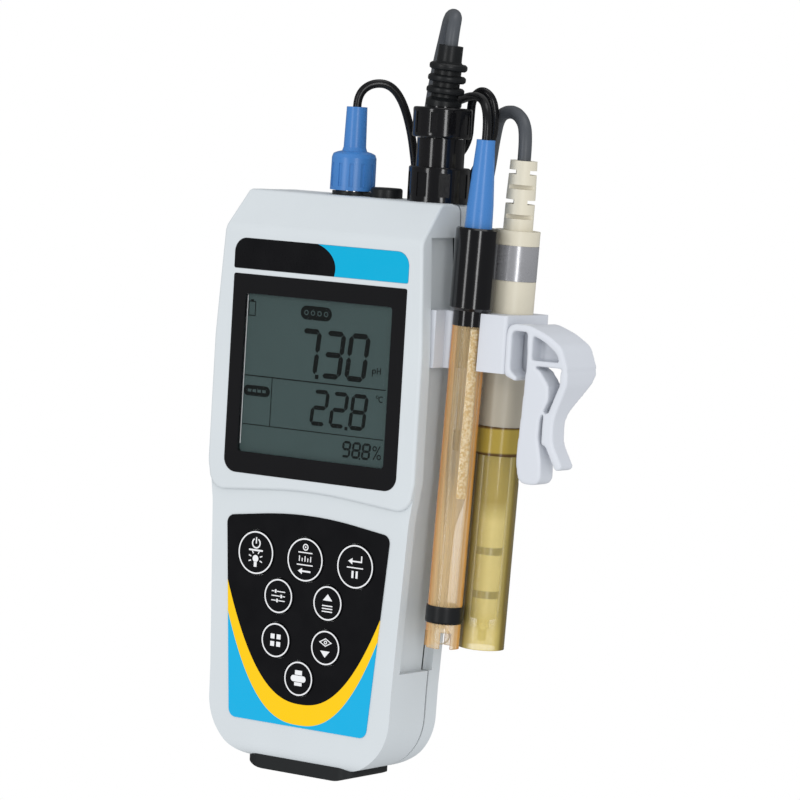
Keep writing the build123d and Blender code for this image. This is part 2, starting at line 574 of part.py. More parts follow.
save("ec_collar", on_probe(EC_AXIS, rod(0, 0, 117.0, 127.0, EC_GUARD_D / 2) - rod(0, 0, 100, 130, 4.6)))


# ---------------------------------------------------------------- cables
def largest_radii(points):
    """Radius of each corner: 0.45 of the shorter run over the tangent of half the turn."""
    radii = []
    for before, corner, after in zip(points, points[1:], points[2:]):
        run_in = Vector(*corner) - Vector(*before)
        run_out = Vector(*after) - Vector(*corner)
        turn = math.radians(run_in.get_angle(run_out))
        radii.append(0.45 * min(run_in.length, run_out.length) / math.tan(turn / 2))
    return radii


def cable(node, points, diameter):
    """Round cable along straight runs joined by tangent arcs."""
    radii = largest_radii(points)
    path = FilletPolyline(*points, radius=radii)
    start = Vector(*points[0])
    section = Plane(origin=start, z_dir=Vector(*points[1]) - start) * Circle(diameter / 2)
    tube = sweep(section, path=path)
    ideal = math.pi * diameter ** 2 / 4 * path.length
    print(f"{node}: length {path.length:.1f} mm, smallest radius {min(radii):.1f} mm, "
          f"volume ratio {tube.volume / ideal:.4f}")
    save(node, tube)


def coil_solid(z, diameter):
    wall = diameter / 2 + 0.4
    return rod(*COIL, *z, COIL_R + wall) - rod(*COIL, -1, 50, COIL_R - wall)


def on_coil(angle, z):
    turn = math.radians(angle)
    return (COIL[0] + COIL_R * math.cos(turn), COIL[1] + COIL_R * math.sin(turn), z)


def relief_point(length):
    lean = math.radians(RELIEF_TILT)
    return (sx + length * math.sin(lean), sy, 234.4 + length * math.cos(lean))


cable("ph_cable_meter_side", [
    (bx, by, 232.3), (bx, by, 236.6), (-3.2, 9.3, 240.8), (1.7, 13.6, 240.9), (4.8, 17.5, 235.6),
    (7.1, 20.5, 225.3), (8.2, 22.5, 214.2), (8.8, 24.0, 204.4), (2.0, 25.0, 190.0), (-12.0, 25.5, 178.0),
    (-22.5, 25.0, 160.0), (-25.5, 25.2, 122.0), (-28.0, 25.0, 84.0), (-33.0, 24.2, 58.0),
    (-42.0, 22.5, 42.5), (-45.5, 21.8, 31.5), (-42.5, 22.4, 24.2), on_coil(-100, 22.8)], PH_CABLE_D)
save("ph_cable_coil", coil_solid(PH_COIL_Z, PH_CABLE_D))
cable("ph_cable_probe_side", [
    on_coil(-80, 17.3), (-17.0, 22.4, 17.4), (-3.0, 22.8, 19.5), (8.5, 23.2, 32.0), (15.5, 24.0, 52.0),
    (19.5, 24.5, 84.0), (20.5, 24.6, 122.0), (21.0, 24.8, 160.0), (24.0, 25.2, 188.0),
    (28.6, 25.0, 207.0), (33.6, 25.0, 215.4), (40.2, 22.6, 223.5), (42.0, 20.8, 231.5),
    (41.0, 19.9, 238.2), (36.6, 19.6, 241.0), (32.4, 19.9, 238.0), (31.4, 21.0, 230.6), (30.4, 22.3, 222.5),
    (24.2, 23.4, 215.4), (17.6, 23.4, 214.6), (13.8, 22.4, 221.0), (15.4, 21.4, 229.4),
    (21.4, 20.2, 235.2), (29.0, 17.6, 236.8), (36.0, 12.8, 238.4), (44.4, 6.2, 238.6),
    (52.4, -1.7, 236.4), probe_point(PH_AXIS, 230.6), probe_point(PH_AXIS, 224.2)], PH_CABLE_D)
cable("ec_cable_meter_side", [
    relief_point(RELIEF_L), relief_point(RELIEF_L + 5.8), (30.4, 10.0, 265.8), (23.2, 17.0, 265.8),
    (17.8, 23.0, 259.2), (12.4, 27.6, 248.7), (8.8, 29.8, 236.0), (6.8, 31.3, 221.9), (5.0, 32.0, 204.3),
    (-2.0, 32.3, 189.0), (-16.0, 32.0, 174.0), (-28.0, 31.0, 155.0), (-33.0, 30.0, 130.0),
    (-38.0, 29.0, 92.0), (-45.0, 28.0, 58.0), (-53.5, 26.0, 36.0), (-54.0, 24.2, 20.5),
    (-46.5, 23.6, 12.3), on_coil(-100, 12.0)], EC_CABLE_D)
save("ec_cable_coil", coil_solid(EC_COIL_Z, EC_CABLE_D))
cable("ec_cable_probe_side", [
    on_coil(-80, 3.2), (-14.0, 23.0, 3.2), (0.0, 25.0, 8.0), (14.0, 27.5, 24.0), (22.0, 29.5, 50.0),
    (25.5, 30.5, 85.0), (26.0, 31.0, 125.0), (27.0, 31.0, 165.0), (30.5, 30.5, 194.0),
    (34.6, 29.8, 212.0), (35.9, 29.8, 224.3), (39.4, 27.0, 232.6), (50.0, 19.8, 234.4),
    (59.7, 12.0, 230.9), probe_point(EC_AXIS, 224.4), probe_point(EC_AXIS, EC_TOP)], EC_CABLE_D)

tie_wall = 0.8
tie_x = COIL[0] + COIL_R
tie_half = EC_CABLE_D / 2 + 0.4
tie = block((tie_x - tie_half - tie_wall, tie_x + tie_half + tie_wall), (COIL[1] - 2, COIL[1] + 2),
            (0, PH_COIL_Z[1] + tie_wall))
tie = tie - coil_solid((COIL_BASE, PH_COIL_Z[1]), EC_CABLE_D)
save("cable_tie", tie)
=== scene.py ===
"""Handheld pH and conductivity meter: look, cables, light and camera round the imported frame.

Lengths in the helpers are millimetres in the row frame (+Z up, display faces -Y), and mm()
turns them into metres.
"""
import json
import math

import bmesh
import bpy
from mathutils import Matrix, Vector


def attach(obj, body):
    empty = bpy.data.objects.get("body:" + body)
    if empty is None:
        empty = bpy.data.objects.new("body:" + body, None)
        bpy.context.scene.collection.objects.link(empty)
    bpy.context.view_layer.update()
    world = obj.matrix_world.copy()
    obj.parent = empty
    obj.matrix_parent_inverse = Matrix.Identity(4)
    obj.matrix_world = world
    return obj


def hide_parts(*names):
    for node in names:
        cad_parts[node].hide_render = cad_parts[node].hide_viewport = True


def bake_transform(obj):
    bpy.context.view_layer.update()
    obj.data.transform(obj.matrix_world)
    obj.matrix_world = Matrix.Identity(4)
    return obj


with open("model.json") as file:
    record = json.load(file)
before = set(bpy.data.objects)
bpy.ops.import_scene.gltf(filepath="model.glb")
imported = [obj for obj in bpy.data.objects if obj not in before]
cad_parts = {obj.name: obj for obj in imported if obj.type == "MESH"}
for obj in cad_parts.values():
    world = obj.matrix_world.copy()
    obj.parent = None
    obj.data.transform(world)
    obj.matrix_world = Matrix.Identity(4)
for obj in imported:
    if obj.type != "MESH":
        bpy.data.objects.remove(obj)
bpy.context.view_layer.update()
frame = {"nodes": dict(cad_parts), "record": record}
NODES = frame["nodes"]


def mm(x, y, z):
    return Vector((x, y, z)) * 0.001


# ---------------------------------------------------------------- camera, light, background
CAMERA_AZIMUTH = 34.554     # degrees, from -Y towards +X
CAMERA_ELEVATION = 4.588
CAMERA_ROLL = 3.388
CAMERA_LENS = 186.1         # focal length, mm
SENSOR_WIDTH = 36.0         # mm
CAMERA_TARGET = mm(36.42, -19.0, 134.45)
CAMERA_DISTANCE = 1.40459   # metres


def make_camera():
    azimuth = math.radians(CAMERA_AZIMUTH)
    elevation = math.radians(CAMERA_ELEVATION)
    roll = math.radians(CAMERA_ROLL)
    back = Vector((math.sin(azimuth) * math.cos(elevation),
                   -math.cos(azimuth) * math.cos(elevation),
                   math.sin(elevation)))
    right = Vector((math.cos(azimuth), math.sin(azimuth), 0))
    up = back.cross(right)
    rolled_right = right * math.cos(roll) + up * math.sin(roll)
    rolled_up = up * math.cos(roll) - right * math.sin(roll)
    data = bpy.data.cameras.new("camera")
    data.lens = CAMERA_LENS
    data.sensor_width = SENSOR_WIDTH
    camera = bpy.data.objects.new("camera", data)
    turn = Matrix((rolled_right, rolled_up, back)).transposed().to_4x4()
    camera.matrix_world = Matrix.Translation(CAMERA_TARGET + back * CAMERA_DISTANCE) @ turn
    bpy.context.scene.collection.objects.link(camera)
    bpy.context.scene.camera = camera


def area_light(name, place, target, size, power):
    """Soft box, `size` wide and high in metres."""
    data = bpy.data.lights.new(name, "AREA")
    data.shape = "RECTANGLE"
    data.size, data.size_y = size
    data.energy = power
    lamp = bpy.data.objects.new(name, data)
    lamp.location = place
    lamp.rotation_mode = "QUATERNION"
    lamp.rotation_quaternion = (Vector(target) - Vector(place)).to_track_quat("-Z", "Y")
    bpy.context.scene.collection.objects.link(lamp)


def add_node(tree, kind, inputs=(), **settings):
    """New shader node; inputs are (socket, value or output socket) pairs."""
    node = tree.nodes.new(kind)
    for key, value in settings.items():
        setattr(node, key, value)
    for socket, value in inputs:
        if isinstance(value, bpy.types.NodeSocket):
            tree.links.new(value, node.inputs[socket])
        else:
            node.inputs[socket].default_value = value
    return node


WORLD_SEEN = 1.0        # what the camera sees behind the object
WORLD_LIGHT = 0.92      # what lights matt surfaces
WORLD_GLOSS = 0.16      # what mirror-like surfaces reflect
WORLD_TINT = (0.95, 0.97, 1.0)
WHITE = (1.0, 1.0, 1.0)


def make_world():
    """White behind the object, softer white on it, and dim reflections to keep black black."""
    world = bpy.data.worlds.new("studio")
    bpy.context.scene.world = world
    world.use_nodes = True
    tree = world.node_tree
    tree.nodes.clear()
    path = add_node(tree, "ShaderNodeLightPath")
    shades = []
    for strength, colour in ((WORLD_LIGHT, WORLD_TINT), (WORLD_GLOSS, WHITE), (WORLD_SEEN, WHITE)):
        shade = add_node(tree, "ShaderNodeBackground",
                         [("Color", (*colour, 1)), ("Strength", strength)])
        shades.append(shade.outputs[0])
    lit, mirrored, seen = shades
    on_object = add_node(tree, "ShaderNodeMixShader",
                         [(0, path.outputs["Is Glossy Ray"]), (1, lit), (2, mirrored)])
    whole = add_node(tree, "ShaderNodeMixShader",
                     [(0, path.outputs["Is Camera Ray"]), (1, on_object.outputs[0]), (2, seen)])
    add_node(tree, "ShaderNodeOutputWorld", [(0, whole.outputs[0])])


# name, place, target, (width, height), all in metres, and power in watts
LAMPS = (("key", (-0.30, -1.65, 0.42), (0.0, 0.0, 0.13), (0.30, 1.3), 5.6),
         ("fill", (1.40, -1.25, 0.42), (0.03, 0.0, 0.13), (0.30, 1.2), 7.0),
         ("top", (0.1, 0.2, 1.7), (0.02, 0.0, 0.15), (0.9, 0.9), 3.0))

make_camera()
make_world()
for lamp in LAMPS:
    area_light(*lamp)
bpy.context.scene.view_settings.view_transform = "Standard"
bpy.context.scene.view_settings.look = "None"


# ---------------------------------------------------------------- materials
BUMP_DEPTH = 0.0001             # metres
COAT_ROUGHNESS = 0.06
DRIFT_SIZE = 22.0               # patches over which a moulded colour drifts, mm
STREAK_WIDTH, STREAK_SQUASH = 1.1, 0.03     # streaks in clear plastic, mm, drawn out along Z
WEAR_SIZE, WEAR_AMOUNT, WEAR_GREY = 9.0, 0.012, (0.4, 0.4, 0.4)
FILM_SPECULAR = 0.12
TINT_SIZE, TINT_AMOUNT, TINT = 7.0, 0.10, (0.2, 0.17, 0.12)
BUBBLE_BUMP = 0.8


def maths(tree, operation, first, second=0.0):
    node = add_node(tree, "ShaderNodeMath", [(0, first), (1, second)], operation=operation)
    return node.outputs[0]


def colour_mix(tree, factor, low, high):
    """Mix of two colours, each a tuple or an output socket."""
    low = low if isinstance(low, bpy.types.NodeSocket) else (*low, 1)
    high = high if isinstance(high, bpy.types.NodeSocket) else (*high, 1)
    mix = add_node(tree, "ShaderNodeMix", data_type="RGBA")
    for socket, value in (("Factor", factor), ("A", low), ("B", high)):
        target = next(entry for entry in mix.inputs if entry.name == socket and entry.enabled)
        if isinstance(value, bpy.types.NodeSocket):
            tree.links.new(value, target)
        else:
            target.default_value = value
    return next(entry for entry in mix.outputs if entry.enabled)


def new_material(name):
    material = bpy.data.materials.new(name)
    material.use_nodes = True
    tree = material.node_tree
    place = add_node(tree, "ShaderNodeTexCoord").outputs["Object"]
    return material, tree, tree.nodes["Principled BSDF"], place


def noise(tree, place, size, detail=2.0):
    """Noise whose grain is `size` millimetres."""
    return add_node(tree, "ShaderNodeTexNoise",
                    [("Vector", place), ("Scale", 1000.0 / size), ("Detail", detail)]).outputs["Fac"]


def moulded(tree, shader, place, rough, grain, bump):
    """Roughness and relief of a fine grain, `grain` millimetres across."""
    fine = noise(tree, place, grain, 3.0)
    gloss = add_node(tree, "ShaderNodeMapRange",
                     [("Value", fine), ("From Min", 0.3), ("From Max", 0.7),
                      ("To Min", rough * 0.85), ("To Max", min(rough * 1.15, 1.0))])
    tree.links.new(gloss.outputs["Result"], shader.inputs["Roughness"])
    if bump:
        relief = add_node(tree, "ShaderNodeBump",
                          [("Strength", bump), ("Distance", BUMP_DEPTH), ("Height", fine)])
        tree.links.new(relief.outputs["Normal"], shader.inputs["Normal"])


def plastic(name, colour, rough=0.4, grain=0.5, bump=0.06, drift=0.04,
            coat=0.0, metal=0.0, specular=0.5):
    """Moulded surface whose colour drifts a little over a few centimetres."""
    material, tree, shader, place = new_material(name)
    broad = noise(tree, place, DRIFT_SIZE)
    dark = tuple(c * (1 - drift) for c in colour)
    light = tuple(min(c * (1 + drift), 1) for c in colour)
    tree.links.new(colour_mix(tree, broad, dark, light), shader.inputs["Base Color"])
    moulded(tree, shader, place, rough, grain, bump)
    shader.inputs["Metallic"].default_value = metal
    shader.inputs["Specular IOR Level"].default_value = specular
    shader.inputs["Coat Weight"].default_value = coat
    shader.inputs["Coat Roughness"].default_value = COAT_ROUGHNESS
    return material


def clear(name, middle, edge, alpha, edge_alpha, rough=0.05,
          turn=(0.25, 0.85), streak=0.0, coat=0.5, foot=None):
    """Clear plastic or glass: thin where it faces the eye, dense and dark where seen edge on.

    `turn` is the range of Layer Weight facing over which the middle becomes the edge. `foot` is
    (low z, high z, extra density): the body gets denser downwards from high to low.
    """
    material, tree, shader, place = new_material(name)
    facing = add_node(tree, "ShaderNodeLayerWeight", [("Blend", 0.5)]).outputs["Facing"]
    rim = add_node(tree, "ShaderNodeMapRange",
                   [("Value", facing), ("From Min", turn[0]), ("From Max", turn[1])],
                   interpolation_type="SMOOTHSTEP").outputs["Result"]
    tree.links.new(colour_mix(tree, rim, middle, edge), shader.inputs["Base Color"])
    density = add_node(tree, "ShaderNodeMapRange",
                       [("Value", rim), ("To Min", alpha), ("To Max", edge_alpha)]).outputs["Result"]
    if streak:
        along = add_node(tree, "ShaderNodeMapping",
                         [("Vector", place), ("Scale", (1.0, 1.0, STREAK_SQUASH))])
        lines = noise(tree, along.outputs["Vector"], STREAK_WIDTH, 3.0)
        swing = maths(tree, "MULTIPLY", maths(tree, "SUBTRACT", lines, 0.5), streak)
        density = maths(tree, "ADD", density, swing)
    if foot:
        low, high, extra = foot
        height = add_node(tree, "ShaderNodeSeparateXYZ", [("Vector", place)]).outputs["Z"]
        deeper = add_node(tree, "ShaderNodeMapRange",
                          [("Value", height), ("From Min", low * 0.001), ("From Max", high * 0.001),
                           ("To Min", extra), ("To Max", 0.0)]).outputs["Result"]
        density = maths(tree, "ADD", density, deeper)
    tree.links.new(density, shader.inputs["Alpha"])
    moulded(tree, shader, place, rough, 2.0, 0.0)
    shader.inputs["Coat Weight"].default_value = coat
    return material


def print_film(name, layers, ground, rough=0.3):
    """Printed film: `layers` are (mask maker, colour) pairs laid on the ground colour in turn."""
    material, tree, shader, place = new_material(name)
    axes = add_node(tree, "ShaderNodeSeparateXYZ", [("Vector", place)])
    x = maths(tree, "MULTIPLY", axes.outputs["X"], 1000.0)
    z = maths(tree, "MULTIPLY", axes.outputs["Z"], 1000.0)
    ink = ground
    for mask, colour in layers:
        ink = colour_mix(tree, mask(tree, x, z), ink, colour)
    wear = maths(tree, "MULTIPLY", noise(tree, place, WEAR_SIZE), WEAR_AMOUNT)
    worn = colour_mix(tree, wear, ink, WEAR_GREY)
    tree.links.new(worn, shader.inputs["Base Color"])
    moulded(tree, shader, place, rough, 0.25, 0.05)
    shader.inputs["Specular IOR Level"].default_value = FILM_SPECULAR
    return material


def above_bowl(foot, centre, rise, power):
    """Mask that is 1 above a bowl: z = foot + rise * (|x - centre| / 10) ** power."""
    def mask(tree, x, z):
        aside = maths(tree, "ABSOLUTE", maths(tree, "SUBTRACT", x, centre))
        reach = maths(tree, "MULTIPLY", aside, 0.1)
        bowl = maths(tree, "MULTIPLY", maths(tree, "POWER", reach, power), rise)
        return maths(tree, "GREATER_THAN", z, maths(tree, "ADD", bowl, foot))
    return mask


def bullet(x_centre, z_centre, reach, height):
    """Mask that is 1 left of x_centre and inside the half ellipse to its right."""
    def mask(tree, x, z):
        right = maths(tree, "MAXIMUM", maths(tree, "SUBTRACT", x, x_centre), 0.0)
        across = maths(tree, "POWER", maths(tree, "DIVIDE", right, reach), 2.0)
        level = maths(tree, "ABSOLUTE", maths(tree, "SUBTRACT", z, z_centre))
        up = maths(tree, "DIVIDE", level, height)
        total = maths(tree, "ADD", across, maths(tree, "POWER", up, 2.0))
        left = maths(tree, "LESS_THAN", x, x_centre)
        return maths(tree, "MAXIMUM", left, maths(tree, "LESS_THAN", total, 1.0))
    return mask


def graded(name, stops, rough):
    """Plastic whose colour changes with height: stops are (z in mm, colour), upwards."""
    material, tree, shader, place = new_material(name)
    low, high = stops[0][0], stops[-1][0]
    height = add_node(tree, "ShaderNodeSeparateXYZ", [("Vector", place)]).outputs["Z"]
    level = add_node(tree, "ShaderNodeMapRange",
                     [("Value", height), ("From Min", low * 0.001), ("From Max", high * 0.001)])
    ramp = add_node(tree, "ShaderNodeValToRGB", [("Fac", level.outputs["Result"])])
    for index, (z, colour) in enumerate(stops):
        spot = (z - low) / (high - low)
        if 0 < index < len(stops) - 1:
            ramp.color_ramp.elements.new(spot)
        element = ramp.color_ramp.elements[index]
        element.position = spot
        element.color = (*colour, 1)
    drift = maths(tree, "MULTIPLY", noise(tree, place, TINT_SIZE), TINT_AMOUNT)
    tinted = colour_mix(tree, drift, ramp.outputs["Color"], TINT)
    tree.links.new(tinted, shader.inputs["Base Color"])
    moulded(tree, shader, place, rough, 0.5, 0.05)
    return material


def speckled(name, light, dark, size, rough):
    """Gel full of small bubbles."""
    material, tree, shader, place = new_material(name)
    cloud = noise(tree, place, size, 3.0)
    bubbles = add_node(tree, "ShaderNodeMapRange",
                       [("Value", cloud), ("From Min", 0.40), ("From Max", 0.60)])
    mottled = colour_mix(tree, bubbles.outputs["Result"], dark, light)
    tree.links.new(mottled, shader.inputs["Base Color"])
    moulded(tree, shader, place, rough, size, BUBBLE_BUMP)
    return material


GOLD = (0.40, 0.29, 0.045)
DARK_GOLD = (0.09, 0.045, 0.008)
CORE = (0.92, 0.80, 0.38)
# the darker brown below is a painted shadow of the clip on the upper part of the conductivity core
CORE_PAINTED_SHADOW = (0.30, 0.20, 0.025)
BEIGE = (0.68, 0.63, 0.50)
# the darker beige below is painted shade on the lower probe body, under the holder and clip
BEIGE_PAINTED_SHADE = (0.42, 0.38, 0.30)
BLACK_INK = (0.004, 0.004, 0.005)
YELLOW_INK = (0.88, 0.54, 0.005)
BLUE_INK = (0.008, 0.39, 0.67)
HEADER_BLUE = (0.0, 0.37, 0.60)

FINISH = {
    "case_shell": plastic("case_shell", (0.60, 0.635, 0.65), 0.42, 0.35, 0.10, 0.03),
    "black_rubber": plastic("black_rubber", (0.010, 0.011, 0.012), 0.38, 0.5, 0.12, 0.2,
                            specular=0.35),
    "black_plastic": plastic("black_plastic", (0.004, 0.004, 0.005), 0.16, 0.8, 0.02, 0.2,
                             coat=0.45, specular=0.4),
    "label_film": print_film("label_film", [(bullet(-6.0, 176.5, 12.4, 8.8), BLACK_INK)],
                             HEADER_BLUE),
    "key_film": print_film("key_film", [(above_bowl(17.6, 0.5, 1.9, 2.48), YELLOW_INK),
                                        (above_bowl(24.9, 1.0, 2.2, 2.36), BLACK_INK)], BLUE_INK),
    "clear_lens": clear("clear_lens", (0.02, 0.025, 0.025), (0.03, 0.035, 0.035), 0.02, 0.10,
                        coat=0.0),
    "lcd_panel": plastic("lcd_panel", (0.048, 0.076, 0.074), 0.5, 0.2, 0.0, 0.06, specular=0.2),
    "light_guide": plastic("light_guide", (0.8, 0.82, 0.8), 0.4),
    "circuit_board": plastic("circuit_board", (0.02, 0.16, 0.06), 0.3),
    "steel": plastic("steel", (0.45, 0.44, 0.38), 0.3, 0.2, 0.1, 0.05, metal=1.0),
    "nickel": plastic("nickel", (0.72, 0.71, 0.69), 0.18, 0.4, 0.03, 0.04, metal=1.0),
    "cell_jacket": plastic("cell_jacket", (0.03, 0.04, 0.06), 0.3),
    "blue_boot": plastic("blue_boot", (0.050, 0.195, 0.50), 0.30, 0.4, 0.04, 0.06),
    "beige_plastic": plastic("beige_plastic", BEIGE, 0.42, 0.4, 0.10, 0.05),
    "amber_clear": clear("amber_clear", (0.87, 0.63, 0.32), (0.56, 0.24, 0.05), 0.17, 0.95,
                         turn=(0.22, 0.62), streak=0.6, foot=(92.0, 112.0, 0.16)),
    "clear_glass": clear("clear_glass", (0.95, 0.86, 0.62), (0.40, 0.26, 0.10), 0.04, 0.85,
                         streak=0.1),
    "gel": speckled("gel", (1.0, 0.92, 0.66), (0.66, 0.47, 0.20), 1.0, 0.25),
    "grey_plug": plastic("grey_plug", (0.05, 0.05, 0.045), 0.7, 0.5, 0.3, 0.1),
    "guard_clear": clear("guard_clear", (0.92, 0.74, 0.24), (0.17, 0.12, 0.020), 0.20, 0.88,
                         turn=(0.14, 0.46), streak=0.10, foot=(56.0, 63.0, 0.26)),
    "gold_collar": graded("gold_collar", [(117.6, DARK_GOLD), (118.2, GOLD),
                                          (125.9, GOLD), (126.5, DARK_GOLD)], 0.2),
    "silver_band": plastic("silver_band", (0.50, 0.50, 0.52), 0.26, 2.0, 0.0, 0.10, metal=0.55),
    "clip_grey": plastic("clip_grey", (0.62, 0.64, 0.68), 0.42, 0.4, 0.08, 0.03),
    "black_cable": plastic("black_cable", (0.007, 0.007, 0.008), 0.28, 0.6, 0.05, 0.2),
    "grey_cable": plastic("grey_cable", (0.075, 0.082, 0.092), 0.42, 0.6, 0.08, 0.08),
    # the core turns darker above 94 mm: painted shadow of the clip
    "core_plastic": graded("core_plastic", [(56.0, CORE), (94.0, CORE),
                                            (101.0, CORE_PAINTED_SHADOW), (127.0, CORE_PAINTED_SHADOW)], 0.3),
    # the body turns darker below 152 mm: painted shade under the holder
    "probe_plastic": graded("probe_plastic", [(127.0, BEIGE_PAINTED_SHADE), (142.0, BEIGE_PAINTED_SHADE),
                                              (152.0, BEIGE), (200.0, BEIGE)], 0.36),
    "foot_rubber": plastic("foot_rubber", (0.013, 0.015, 0.016), 0.5, 0.5, 0.2, 0.1,
                           specular=0.4),
    "white_ink": plastic("white_ink", (0.78, 0.78, 0.78), 0.5, 0.3, 0.0, 0.03),
    "lcd_ink": plastic("lcd_ink", (0.004, 0.006, 0.006), 0.5, 0.3, 0.0, 0.03, specular=0.2),
}

# pieces whose look differs from the rest of their material slot; the core and probe body looks carry
# painted shade
OWN_FINISH = {"ec_core": "core_plastic", "ec_body": "probe_plastic", "bottom_foot": "foot_rubber"}

for part in frame["record"]["subparts"]:
    node = NODES[part["node"]]
    node.data.materials.clear()
    node.data.materials.append(FINISH[OWN_FINISH.get(part["node"], part["material_slot"])])


# ---------------------------------------------------------------- beaker clip
FLEX_X, FLEX_Z = 93.95, 147.9
CLIP_DEPTH = (-7.3, 11.3)
WEB_RADIUS = 0.00135            # metres, as the next is
REMESH_CELL = 0.00045
SMOOTH_ROUNDS = 6


def fused_clip():
    """Frame and jaw as one moulding, joined by a web at the flex and with softened edges."""
    build = bmesh.new()
    for name in ("clip_frame", "clip_jaw"):
        build.from_mesh(NODES[name].data)
    web = bmesh.ops.create_cone(build, cap_ends=True, segments=24,
                                radius1=WEB_RADIUS, radius2=WEB_RADIUS,
                                depth=(CLIP_DEPTH[1] - CLIP_DEPTH[0]) * 0.001)
    middle = mm(FLEX_X, sum(CLIP_DEPTH) / 2, FLEX_Z)
    turn = Matrix.Rotation(math.radians(90), 4, "X")
    bmesh.ops.transform(build, matrix=Matrix.Translation(middle) @ turn, verts=web["verts"])
    rough_mesh = bpy.data.meshes.new("clip_rough")
    build.to_mesh(rough_mesh)
    build.free()
    rough_clip = bpy.data.objects.new("clip_rough", rough_mesh)
    bpy.context.scene.collection.objects.link(rough_clip)
    remesh = rough_clip.modifiers.new("remesh", "REMESH")
    remesh.mode = "VOXEL"
    remesh.voxel_size = REMESH_CELL
    soften = rough_clip.modifiers.new("soften", "SMOOTH")
    soften.iterations = SMOOTH_ROUNDS
    soften.factor = 0.5
    shaped = rough_clip.evaluated_get(bpy.context.evaluated_depsgraph_get())
    solid = bpy.data.meshes.new_from_object(shaped)
    bpy.data.objects.remove(rough_clip)
    solid.materials.clear()
    solid.materials.append(FINISH["clip_grey"])
    solid.shade_smooth()
    clip = bpy.data.objects.new("beaker_clip", solid)
    bpy.context.scene.collection.objects.link(clip)
    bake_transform(clip)
    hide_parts("clip_frame", "clip_jaw")


fused_clip()

# ---------------------------------------------------------------- cables
COIL_MIDDLE = (-30.0, 49.0)
COIL_RADIUS = 27.5
COIL_START = -100.0             # degrees
COIL_TURNS = 2.0556
POINTS_PER_TURN = 12
PH_CABLE_D = 3.0
EC_CABLE_D = 4.6
PROBE_TILT = math.radians(1.9)
PROBE_LEVEL = 154.0
PH_AXIS = (53.5, -5.1)
EC_AXIS = (60.2, 9.2)
RELIEF_FOOT = (30.0, 6.0, 234.4)
RELIEF_TILT = math.radians(5.0)


def probe_point(axis, height, x=0.0, y=0.0):
    """Point beside a leaning probe's axis, at a height of the probe's own scale."""
    up = height - PROBE_LEVEL
    return (axis[0] + up * math.sin(PROBE_TILT) + x * math.cos(PROBE_TILT), axis[1] + y,
            PROBE_LEVEL + up * math.cos(PROBE_TILT) - x * math.sin(PROBE_TILT))


def relief_point(length):
    """Point on the axis of the leaning strain relief, `length` above its foot."""
    x, y, z = RELIEF_FOOT
    return (x + length * math.sin(RELIEF_TILT), y, z + length * math.cos(RELIEF_TILT))


def coil_turns(top, bottom):
    """Turns of a coil, wound down, with the spline's line on the coil's radius."""
    steps = round(COIL_TURNS * POINTS_PER_TURN)
    reach = COIL_RADIUS / math.cos(math.pi / POINTS_PER_TURN)
    points = []
    for step in range(steps + 1):
        angle = math.radians(COIL_START + 360.0 * COIL_TURNS * step / steps)
        points.append((COIL_MIDDLE[0] + reach * math.cos(angle),
                       COIL_MIDDLE[1] + reach * math.sin(angle),
                       top + (bottom - top) * step / steps))
    return points


def make_cord(name, points, diameter, slot):
    """Round cord along a quadratic B-spline that starts and ends at its end points."""
    data = bpy.data.curves.new(name, "CURVE")
    data.dimensions = "3D"
    data.bevel_depth = diameter / 2 * 0.001
    data.bevel_resolution = 6
    data.resolution_u = 10
    data.use_fill_caps = True
    spline = data.splines.new("NURBS")
    spline.points.add(len(points) - 1)
    for point, place in zip(spline.points, points):
        point.co = (*mm(*place), 1)
    spline.order_u = 3
    spline.use_endpoint_u = True
    data.materials.append(FINISH[slot])
    cord = bpy.data.objects.new(name, data)
    bpy.context.scene.collection.objects.link(cord)
    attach(cord, "meter")
    return cord


ph_route = [
    (-6.2, 6, 232.3), (-6.2, 6, 236.6), (-3.2, 9.3, 240.8), (1.7, 13.6, 240.9), (4.8, 17.5, 235.6),
    (7.1, 20.5, 225.3), (8.2, 22.5, 214.2), (8.8, 24, 204.4), (2, 25, 190), (-12, 25.5, 178),
    (-22.5, 25, 160), (-25.5, 25.2, 122), (-28, 25, 84), (-33, 24.2, 58), (-42, 22.5, 42.5),
    (-45.5, 21.8, 31.5), (-42.5, 22.4, 24.2),
    *coil_turns(22.8, 17.3),
    (-17, 22.4, 17.4), (-3, 22.8, 19.5), (8.5, 23.2, 32), (15.5, 24, 52), (19.5, 24.5, 84),
    (20.5, 24.6, 122), (21, 24.8, 160), (24, 25.2, 188), (28.6, 25, 207), (33.6, 25, 215.4),
    (40.2, 22.6, 223.5), (42, 20.8, 231.5), (41, 19.9, 238.2), (36.6, 19.6, 241), (32.4, 19.9, 238),
    (31.4, 21, 230.6), (30.4, 22.3, 222.5), (24.2, 23.4, 215.4), (17.6, 23.4, 214.6),
    (13.8, 22.4, 221), (15.4, 21.4, 229.4), (21.4, 20.2, 235.2), (29, 17.6, 236.8),
    (36, 12.8, 238.4), (44.4, 6.2, 238.6), (52.4, -1.7, 236.4),
    probe_point(PH_AXIS, 230.6), probe_point(PH_AXIS, 224.2)]
ph_cable = make_cord("ph_cable", ph_route, PH_CABLE_D, "black_cable")
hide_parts("ph_cable_meter_side", "ph_cable_coil", "ph_cable_probe_side")

